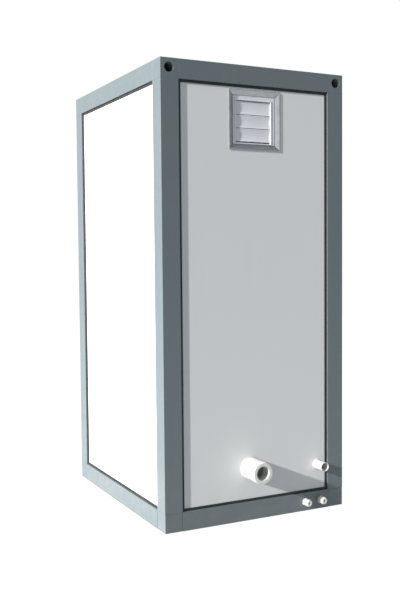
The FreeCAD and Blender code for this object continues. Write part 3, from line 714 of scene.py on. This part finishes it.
@dataclass
class Door:
    """The leaf with its edging and seal, the frame, hinges and lock furniture."""

    edging: float = 0.022
    edging_rise: float = 1.5 * MM
    seal: float = 3.0 * MM
    screw: float = 3.6 * MM
    screw_inset: float = 0.012
    hinge_levels: tuple[float, ...] = (0.35, 1.1, 1.9)

    def build(self) -> None:
        """Make and dress the door."""
        softened("door_frame", 2.0 * MM, Finish.FRAME_PAINT)
        softened("door_leaf", 1.5 * MM, Finish.WHITE_PANEL)
        hinges = ("hinge_frame_plates", "hinge_leaf_plates")
        for node in (*hinges, "handle_plates", "strike_plate", "thumb_turn"):
            softened(node, 0.7 * MM, Finish.STEEL, 2)
        for node in ("outer_handle", "inner_handle"):
            softened(node, 1.0 * MM, Finish.STEEL, 2)
        for node in ("latch_bolt", "dead_bolt"):
            softened(node, 1.2 * MM, Finish.CHROME, 2)
        self.leaf_edging()
        self.leaf_seal()
        self.screws()

    def leaf_edging(self) -> None:
        """A thin metal channel round the outside face of the leaf."""
        low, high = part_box("door_leaf")
        y0, y1 = low[1] - self.edging_rise, low[1] + 0.001
        wide = self.edging
        shape = bmesh.new()
        add_block(shape, (low[0], y0, low[2]), (low[0] + wide, y1, high[2]))
        add_block(shape, (high[0] - wide, y0, low[2]), (high[0], y1, high[2]))
        add_block(shape, (low[0] + wide, y0, low[2]), (high[0] - wide, y1, low[2] + wide))
        add_block(shape, (low[0] + wide, y0, high[2] - wide), (high[0] - wide, y1, high[2]))
        edging = bevelled(piece_from("leaf_edging", shape), 0.0006, 2)
        add_on(edging, "door", Finish.VENT_METAL)

    def leaf_seal(self) -> None:
        """A soft seal round the inner edge of the leaf."""
        low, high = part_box("door_leaf")
        y0, y1 = high[1] - 0.001, high[1] + 0.0017
        inset, wide = 0.002, self.seal * 2
        shape = bmesh.new()
        for x in (low[0] + inset, high[0] - inset - wide):
            add_block(shape, (x, y0, low[2] + inset), (x + wide, y1, high[2] - inset))
        for z in (low[2] + inset, high[2] - inset - wide):
            add_block(shape, (low[0] + 0.008, y0, z), (high[0] - 0.008, y1, z + wide))
        add_on(bevelled(piece_from("leaf_seal", shape), 0.0005, 2), "door", Finish.RUBBER)

    def screws(self) -> None:
        """Countersunk screws in the lock plates and hinges."""
        low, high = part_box("handle_plates")
        middle = (low[0] + high[0]) / 2
        for name, y, face in (("outer", low[1], -1), ("inner", high[1], 1)):
            spots = [(middle, y, z) for z in (low[2] + self.screw_inset, high[2] - self.screw_inset)]
            screws = screw_heads(f"{name}_plate_screws", spots, face, self.screw)
            add_on(screws, "door", Finish.STEEL)
        for node, body in (("hinge_frame_plates", "cabin"), ("hinge_leaf_plates", "door")):
            low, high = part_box(node)
            away = -1 if body == "cabin" else 1
            x = low[0] + self.screw_inset if away < 0 else high[0] - self.screw_inset
            face_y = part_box("door_leaf")[0][1] - 0.003
            offsets = (-0.034, 0.034) if away < 0 else (-0.008, 0.008)
            spots = [(x, face_y, z + offset) for z in self.hinge_levels for offset in offsets]
            add_on(screw_heads(f"{node}_screws", spots, -1, self.screw), body, Finish.CHROME)


def screw_heads(name: str, spots: Sequence[Point], facing: int, radius: float) -> bpy.types.Object:
    """Low domed screw heads with a cross recess.

    Args:
        name: the piece's name.
        spots: where each head touches its plate.
        facing: -1 or +1, the way along Y that the heads face.
        radius: a head's radius.

    Returns:
        One object that holds the heads.
    """
    shape = bmesh.new()
    rise = radius * 0.35
    profile = [
        (radius, -0.0003), (radius, rise * 0.25), (radius * 0.8, rise * 0.7), (radius * 0.5, rise * 0.95),
        (radius * 0.42, rise), (radius * 0.3, rise * 0.35), (radius * 0.1, rise * 0.3),
    ]
    for spot in spots:
        turned = [(r, facing * reach) for r, reach in profile]
        add_turning(shape, turned, spot, "Y", 20)
    return piece_from(name, shape)


@dataclass
class Vent:
    """The metal surround, the white louvre, its hanging flaps and the fan behind."""

    blade: float = 2.2 * MM
    roll: float = 4.0 * MM
    belly: float = 2.6 * MM
    pin: float = 0.0055
    clear: float = 0.0006
    lip: float = 0.0012

    def build(self) -> None:
        """Make and dress the vent."""
        softened("vent_trim", 1.0 * MM, Finish.VENT_METAL)
        softened("louvre_frame", 2.0 * MM, Finish.WHITE_PLASTIC)
        softened("fan_housing", 1.0 * MM, Finish.WHITE_PLASTIC)
        softened("fan_motor", 2.0 * MM, Finish.DARK_PLASTIC_AND_SHADE)
        softened("fan_impeller", 0.6 * MM, Finish.WHITE_PLASTIC, 2)
        for node in ("vent_flap_top", "vent_flap_middle", "vent_flap_bottom"):
            self.flap(node)
        self.mitres()
        self.inner_rim()

    def flap(self, node: str) -> None:
        """A hanging flap: a rolled top edge and a gently bellied blade with a turned lip."""
        low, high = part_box(node)
        left, right = low[0] + self.pin, high[0] - self.pin
        top, bottom = high[2] - self.roll, low[2]
        pivot_y = low[1] + self.roll
        outline = []
        for step in range(11):
            angle = math.radians(-60 + 21 * step)
            outline.append((pivot_y + self.roll * math.cos(angle), top + self.roll * math.sin(angle)))
        steps = 14
        blade_back = high[1] - self.blade
        for step in range(1, steps + 1):
            share = step / steps
            y = blade_back - self.clear - self.belly * math.sin(math.pi * share)
            outline.append((y, top - (top - bottom) * share))
        for step in range(steps, 0, -1):
            share = step / steps
            lift = self.belly * math.sin(math.pi * share) - self.lip * (share > 0.96)
            outline.append((blade_back + self.blade - self.clear - lift, top - (top - bottom) * share))
        shape = bmesh.new()
        sides = []
        columns = 9
        for column in range(columns):
            x = left + (right - left) * column / (columns - 1)
            sides.append([shape.verts.new((x, y, z)) for y, z in outline])
        bridge(shape, sides)
        shape.faces.new(sides[0][::-1])
        shape.faces.new(sides[-1])
        pins = [(self.roll * 0.5, low[0] - left), (self.roll * 0.5, high[0] - left)]
        add_turning(shape, pins, (left, pivot_y, top), "X", 20)
        piece = piece_from(f"{node}_blade", shape)
        bevelled(piece, 0.0005, 2, 50.0)
        dress(piece, Finish.WHITE_PLASTIC)
        stand_for(piece, node)

    def mitres(self) -> None:
        """Fine dark mitre lines across the surround's corners."""
        low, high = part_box("vent_trim")
        middle = middle_of("vent_trim")
        half = (high[0] - low[0]) / 2
        opening = half - 0.030
        shape = bmesh.new()
        for sx in (-1, 1):
            for sz in (-1, 1):
                inner = Vector((middle.x + sx * opening, low[1] + 0.0042, middle.z + sz * opening))
                edge = half - 0.004
                outer = Vector((middle.x + sx * edge, high[1] + 0.0001, middle.z + sz * edge))
                across = Vector((sz * 0.0005, 0, -sx * 0.0005))
                lift = Vector((0, 0.0002, 0))
                corners = [inner - across, inner + across, outer + across, outer - across]
                top = [shape.verts.new(corner + lift) for corner in corners]
                base = [shape.verts.new(corner - lift) for corner in corners]
                shape.faces.new(top)
                shape.faces.new(base[::-1])
                for index in range(4):
                    after = (index + 1) % 4
                    shape.faces.new((top[index], base[index], base[after], top[after]))
        add_on(piece_from("trim_mitre_lines", shape, False), "cabin", Finish.DARK_PLASTIC_AND_SHADE)

    def inner_rim(self) -> None:
        """A raised bead on the louvre round the flaps."""
        top_low, top_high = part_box("vent_flap_top")
        bottom_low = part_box("vent_flap_bottom")[0]
        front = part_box("louvre_frame")[1][1]
        left, right = top_low[0] + 0.001, top_high[0] - 0.001
        low_z, high_z = bottom_low[2] - 0.009, top_high[2] + 0.004
        bead = 0.004
        shape = bmesh.new()
        y0, y1 = front - 0.001, front + 0.003
        add_block(shape, (left - bead, y0, low_z), (left, y1, high_z + bead))
        add_block(shape, (right, y0, low_z), (right + bead, y1, high_z + bead))
        add_block(shape, (left, y0, high_z), (right, y1, high_z + bead))
        add_block(shape, (left, y0, low_z - bead), (right, y1, low_z))
        rim = bevelled(piece_from("louvre_bead", shape), 0.0012, 2)
        add_on(rim, "cabin", Finish.WHITE_PLASTIC)


@dataclass
class Plumbing:
    """Pipe ends, supply fittings, pipes, valves and the sealant where they leave the wall."""

    sealant: float = 4.0 * MM

    def build(self) -> None:
        """Make and dress the plumbing."""
        softened("soil_coupling", 1.0 * MM, Finish.PVC, 2)
        softened("soil_bush", 1.2 * MM, Finish.PVC, 2)
        softened("waste_pipe", 0.6 * MM, Finish.PVC, 2)
        softened("supply_inlets", 1.0 * MM, Finish.PVC, 2)
        softened("supply_pipes", 0.5 * MM, Finish.COPPER, 1)
        softened("bottle_trap", 1.5 * MM, Finish.WHITE_PLASTIC)
        for node in ("cold_valve_handle", "hot_valve_handle"):
            softened(node, 1.5 * MM, Finish.CHROME)
        self.sealant_rings()
        self.hex_nuts()

    def sealant_rings(self) -> None:
        """A bead of sealant round each pipe where it leaves the rear panel."""
        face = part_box("rear_wall_panel")[1][1]
        shape = bmesh.new()
        for node, radius in (("soil_coupling", 0.059), ("waste_pipe", 0.0253)):
            middle = middle_of(node)
            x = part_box("waste_pipe")[0][0] + 0.025 if node == "waste_pipe" else middle.x
            z = frame_height(node)
            profile = [
                (radius + self.sealant, face), (radius + self.sealant * 0.7, face + self.sealant * 0.6),
                (radius, face + self.sealant), (radius - 0.001, face),
            ]
            add_turning(shape, profile, (x, 0.0, z), "Y", 48, True)
        add_on(piece_from("pipe_sealant", shape), "cabin", Finish.PVC)

    def hex_nuts(self) -> None:
        """Facetted nuts behind the two supply fittings."""
        low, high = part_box("supply_inlets")
        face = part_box("bottom_rails")[1][1]
        z = (low[2] + high[2]) / 2
        shape = bmesh.new()
        for x in (low[0] + 0.02, high[0] - 0.02):
            profile = [(0.0225, face), (0.0225, face + 0.011), (0.0205, face + 0.0125)]
            add_turning(shape, profile, (x, 0.0, z), "Y", 6)
        nuts = bevelled(piece_from("supply_nuts", shape, False), 0.0008, 2)
        add_on(nuts, "cabin", Finish.PVC)


def frame_height(node: str) -> float:
    """The level of a pipe's axis where it leaves the rear wall."""
    names = {"soil_coupling": "soil_outlet", "waste_pipe": "waste_outlet"}
    return next(mount["pos_m"][2] for mount in frame["record"]["mounts"] if mount["name"] == names[node])


@dataclass
class Toilet:
    """The glazed pan and cistern, the seat and lid on their hinge and the flush parts."""

    centre_y: float = 0.13
    outlet_level: float = 0.277

    def build(self) -> None:
        """Make and dress the toilet."""
        self.pan()
        softened("wc_cistern", 16.0 * MM, Finish.CERAMIC, 5)
        softened("cistern_lid", 9.0 * MM, Finish.CERAMIC, 5)
        softened("wc_seat", 5.0 * MM, Finish.WHITE_PLASTIC, 4)
        softened("wc_lid", 4.0 * MM, Finish.WHITE_PLASTIC, 4)
        softened("seat_hinges", 2.0 * MM, Finish.CHROME)
        softened("flush_button", 1.2 * MM, Finish.CHROME)
        softened("flush_valve", 3.0 * MM, Finish.WHITE_PLASTIC)
        self.foot_caps()

    def pan(self) -> None:
        """One smooth skin: foot, swelling body, rolled rim and the hollow bowl inside it."""
        low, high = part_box("wc_bowl")
        x, y = middle_of("wc_bowl").x, self.centre_y
        floor, rim = low[2], high[2]
        outside = [
            (floor, 0.113, 0.186, 0.058), (floor + 0.012, 0.114, 0.188, 0.058),
            (floor + 0.06, 0.108, 0.183, 0.055), (floor + 0.12, 0.106, 0.180, 0.05),
            (floor + 0.2, 0.128, 0.195, 0.032), (floor + 0.29, 0.158, 0.213, 0.01),
            (rim - 0.04, 0.176, 0.227, 0.0), (rim - 0.012, 0.181, 0.231, 0.0),
            (rim - 0.001, 0.176, 0.226, 0.0),
        ]
        inside = [
            (rim - 0.0005, 0.160, 0.205, -0.01), (rim - 0.004, 0.144, 0.184, -0.02),
            (rim - 0.02, 0.136, 0.172, -0.023), (rim - 0.06, 0.130, 0.165, -0.02),
            (floor + 0.28, 0.113, 0.147, -0.01), (floor + 0.22, 0.075, 0.098, 0.008),
            (floor + 0.195, 0.055, 0.070, 0.02),
        ]
        rings = [oval((x, y + shift), z, across, along) for z, across, along, shift in outside + inside]
        skin = lofted("pan_skin", rings, (True, True))
        dress(skin, Finish.CERAMIC)
        stand_for(skin, "wc_bowl")
        self.rear_deck(x, rim, high[1])
        water = bmesh.new()
        add_turning(water, [(0.052, 0.0), (0.052, 0.002)], (x, y + 0.02, floor + 0.2), "Z", 40)
        about = Matrix.Translation((-x, -y - 0.02, 0))
        bmesh.ops.scale(water, vec=(1.0, 1.25, 1.0), verts=water.verts[:], space=about)
        add_on(piece_from("pan_water", water), "cabin", Finish.MIRROR)

    def rear_deck(self, x: float, rim: float, back: float) -> None:
        """The shelf that carries the cistern, the trap's neck and the outlet spigot."""
        shape = bmesh.new()
        half, front = 0.148, self.centre_y + 0.17
        add_block(shape, (x - half, front, rim - 0.1), (x + half, back - 0.001, rim - 0.0008))
        deck = bevelled(piece_from("pan_deck", shape), 0.022, 5)
        add_on(deck, "cabin", Finish.CERAMIC)
        shape = bmesh.new()
        half, front = 0.085, self.centre_y + 0.14
        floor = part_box("floor_deck")[1][2]
        add_block(shape, (x - half, front, floor), (x + half, 0.413, rim - 0.09))
        neck = bevelled(piece_from("pan_neck", shape), 0.025, 5)
        add_on(neck, "cabin", Finish.CERAMIC)
        shape = bmesh.new()
        profile = [(0.05, 0.40), (0.05, 0.458), (0.044, 0.46), (0.044, 0.41)]
        add_turning(shape, profile, (x, 0.0, self.outlet_level), "Y", 48, True)
        add_on(piece_from("pan_spigot", shape), "cabin", Finish.CERAMIC)

    def foot_caps(self) -> None:
        """Domed covers over the two floor fixings."""
        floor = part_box("floor_deck")[1][2]
        x = middle_of("wc_bowl").x
        shape = bmesh.new()
        for side in (-1, 1):
            profile = [(0.011, 0.0), (0.011, 0.004), (0.009, 0.009), (0.005, 0.0115), (0.001, 0.0122)]
            add_turning(shape, profile, (x + side * 0.128, self.centre_y + 0.06, floor), "Z", 24)
        add_on(piece_from("floor_fixing_caps", shape), "cabin", Finish.CHROME)


@dataclass
class Washplace:
    """The basin with its waste, the lever mixer and the mirror."""

    bowl_x: float = -0.35

    def build(self) -> None:
        """Make and dress the washplace."""
        self.basin()
        softened("mixer_body", 3.0 * MM, Finish.CHROME, 4)
        softened("mixer_cap", 2.0 * MM, Finish.CHROME, 4)
        softened("mixer_lever", 2.4 * MM, Finish.CHROME, 4)
        softened("mirror", 2.0 * MM, Finish.MIRROR)
        self.mirror_clips()
        self.waste_grid()

    def basin(self) -> None:
        """One smooth skin: squared outside, rolled rim and an oval bowl."""
        low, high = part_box("wash_basin")
        x, y = (low[0] + high[0]) / 2, (low[1] + high[1]) / 2
        half_x, half_y = (high[0] - low[0]) / 2, (high[1] - low[1]) / 2
        top = high[2]
        outside = (
            (low[2], 0.05), (low[2] + 0.004, 0.04), (low[2] + 0.03, 0.015), (top - 0.05, 0.003),
            (top - 0.01, 0.0), (top - 0.002, 0.002), (top - 0.0005, 0.008),
        )
        inside = (
            (top - 0.001, 0.091, 0.175), (top - 0.006, 0.086, 0.170), (top - 0.03, 0.081, 0.156),
            (top - 0.06, 0.074, 0.138), (top - 0.1, 0.050, 0.085), (top - 0.111, 0.026, 0.034),
        )
        rings = [oval((x, y), z, half_x - inset, half_y - inset, 7.0, 40) for z, inset in outside]
        rings += [oval((self.bowl_x, y), z, across, along, 2.0, 40) for z, across, along in inside]
        skin = lofted("basin_skin", rings, (True, True))
        dress(skin, Finish.CERAMIC)
        stand_for(skin, "wash_basin")

    def waste_grid(self) -> None:
        """The chromed waste in the bottom of the bowl."""
        low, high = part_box("wash_basin")
        y = (low[1] + high[1]) / 2
        shape = bmesh.new()
        profile = [(0.021, 0.0), (0.021, 0.003), (0.018, 0.004), (0.014, 0.002), (0.004, 0.002)]
        add_turning(shape, profile, (self.bowl_x, y, high[2] - 0.113), "Z", 40)
        add_on(piece_from("basin_waste_ring", shape), "cabin", Finish.CHROME)

    def mirror_clips(self) -> None:
        """Four small clips that hold the mirror to the wall."""
        low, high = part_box("mirror")
        shape = bmesh.new()
        for y in (low[1] + 0.06, high[1] - 0.06):
            for z, reach in ((low[2], -0.008), (high[2], 0.008)):
                z0, z1 = sorted((z + reach, z - reach))
                add_block(shape, (low[0], y - 0.009, z0), (high[0] + 0.002, y + 0.009, z1))
        add_on(bevelled(piece_from("mirror_clips", shape), 0.0015, 2), "cabin", Finish.CHROME)


@dataclass
class RoomFittings:
    """Ceiling light, light switch, roll holder and the paper roll."""

    layers: int = 9

    def build(self) -> None:
        """Make and dress the fittings."""
        softened("ceiling_light", 3.0 * MM, Finish.OPAL, 4)
        softened("switch_plate", 2.0 * MM, Finish.WHITE_PLASTIC, 4)
        softened("switch_rocker", 1.0 * MM, Finish.WHITE_PLASTIC)
        softened("roll_holder", 2.0 * MM, Finish.CHROME, 4)
        self.paper_roll()

    def paper_roll(self) -> None:
        """A slightly uneven wound roll with visible layers round a hollow core."""
        low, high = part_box("toilet_roll")
        middle = middle_of("toilet_roll")
        outer = (high[2] - low[2]) / 2 - 0.0004
        inner = 0.0194
        half = (high[1] - low[1]) / 2
        wound = []
        for number in range(self.layers * 2 + 1):
            radius = inner + (outer - inner) * number / (self.layers * 2)
            dip = 0.0007 if number % 2 else 0.0
            wound.append((radius, half - dip))
        mirrored = [(radius, -reach) for radius, reach in wound[:0:-1]]
        profile = [(inner, -half), (inner, half), *wound, *mirrored]
        shape = bmesh.new()
        add_turning(shape, profile, tuple(middle), "Y", 64, True)
        piece = piece_from("paper_roll", shape)
        dress(piece, Finish.PAPER)
        stand_for(piece, "toilet_roll")


# ------------------------------------------------------------------ camera and light
@dataclass
class Studio:
    """The camera, a plain pale floor, two suns from the side and soft light all round."""

    position: Point = (2.2894, 4.5261, 1.4224)
    azimuth: float = 153.312
    tilt: float = 3.088
    roll: float = -0.503
    lens: float = 50.89
    key_from: Point = (1.0, 0.22, 0.42)
    key_strength: float = 4.6
    side_from: Point = (1.0, -0.2, 0.45)
    side_strength: float = 4.4
    wash_strength: float = 2.9
    backdrop: float = 1.0
    fill: float = 0.38
    softness: float = 2.0
    floor_radius: float = 14.0

    def build(self) -> None:
        """Make the camera, the lights and the floor."""
        self.camera()
        self.sky()
        self.floor()
        self.key()
        bpy.context.scene.view_settings.view_transform = "Standard"

    def camera(self) -> None:
        """A nearly level view of the rear corner."""
        data = bpy.data.cameras.new("View")
        data.lens = self.lens
        data.sensor_width = 36.0
        turn, down, lean = (math.radians(a) for a in (self.azimuth, self.tilt, self.roll))
        back = Vector((math.sin(turn) * math.cos(down), -math.cos(turn) * math.cos(down), math.sin(down)))
        right = (-back).cross(Vector((0, 0, 1))).normalized()
        up = right.cross(-back)
        leaned_right = right * math.cos(lean) + up * math.sin(lean)
        leaned_up = up * math.cos(lean) - right * math.sin(lean)
        rows = Matrix((leaned_right, leaned_up, back)).transposed().to_4x4()
        camera = bpy.data.objects.new("View", data)
        camera.matrix_world = Matrix.Translation(self.position) @ rows
        bpy.context.scene.collection.objects.link(camera)
        bpy.context.scene.camera = camera

    def sky(self) -> None:
        """A white surround that lights the cabin more gently than it looks."""
        world = bpy.data.worlds.new("Surround")
        world.use_nodes = True
        bpy.context.scene.world = world
        tree = world.node_tree
        glow = tree.nodes["Background"]
        glow.inputs["Strength"].default_value = self.fill
        glow.inputs["Color"].default_value = (0.90, 0.95, 1.0, 1.0)
        seen = tree.nodes.new("ShaderNodeBackground")
        seen.inputs["Strength"].default_value = self.backdrop
        seen.inputs["Color"].default_value = (1.0, 1.0, 1.0, 1.0)
        path = tree.nodes.new("ShaderNodeLightPath")
        mix = tree.nodes.new("ShaderNodeMixShader")
        tree.links.new(path.outputs["Is Camera Ray"], mix.inputs[0])
        tree.links.new(glow.outputs[0], mix.inputs[1])
        tree.links.new(seen.outputs[0], mix.inputs[2])
        tree.links.new(mix.outputs[0], tree.nodes["World Output"].inputs[0])

    def floor(self) -> None:
        """The pale floor that the cabin stands on."""
        shape = bmesh.new()
        add_turning(shape, [(self.floor_radius, -0.02), (self.floor_radius, 0.0)], (0.0, 0.0, 0.0), "Z", 96)
        floor = piece_from("Studio_floor", shape, False)
        sheet = NodeSheet("studio_floor", (0.86, 0.86, 0.86), 0.85)
        floor.data.materials.append(sheet.material)
        floor.visible_diffuse = False
        self.floor_piece = floor

    def key(self) -> None:
        """Two suns on the cabin, and an even wash on the floor alone, so no hard shadow lies there."""
        warm = (1.0, 0.985, 0.95)
        self.sun("Key", self.key_strength, self.key_from, warm, "EXCLUDE")
        self.sun("Side", self.side_strength, self.side_from, warm, "EXCLUDE")
        self.sun("Floor_wash", self.wash_strength, (0.0, 0.0, 1.0), (1.0, 1.0, 1.0), "INCLUDE")

    def sun(self, name: str, strength: float, source: Point, tint: Colour, floor_link: str) -> None:
        """A soft distant light.

        Args:
            name: its name.
            strength: its power per square metre.
            source: the direction it comes from.
            tint: its colour.
            floor_link: EXCLUDE to leave the floor out, INCLUDE to light only the floor.
        """
        data = bpy.data.lights.new(name, "SUN")
        data.energy = strength
        data.angle = math.radians(self.softness)
        data.color = tint
        light = bpy.data.objects.new(name, data)
        light.rotation_euler = Vector(source).to_track_quat("Z", "Y").to_euler()
        bpy.context.scene.collection.objects.link(light)
        lit = bpy.data.collections.new(f"{name}_receivers")
        lit.objects.link(self.floor_piece)
        lit.collection_objects[0].light_linking.link_state = floor_link
        light.light_linking.receiver_collection = lit
        if floor_link == "INCLUDE":
            light.light_linking.blocker_collection = lit


def main() -> None:
    """Build every sub-assembly in order."""
    logging.basicConfig(level=logging.INFO, format="%(name)s: %(message)s")
    parts = (
        Studio(), SteelFrame(), Shell(), Door(), Vent(), Plumbing(), Toilet(), Washplace(), RoomFittings(),
    )
    for part in parts:
        log.info("building %s", type(part).__name__)
        part.build()


if __name__ == "__main__":
    main()
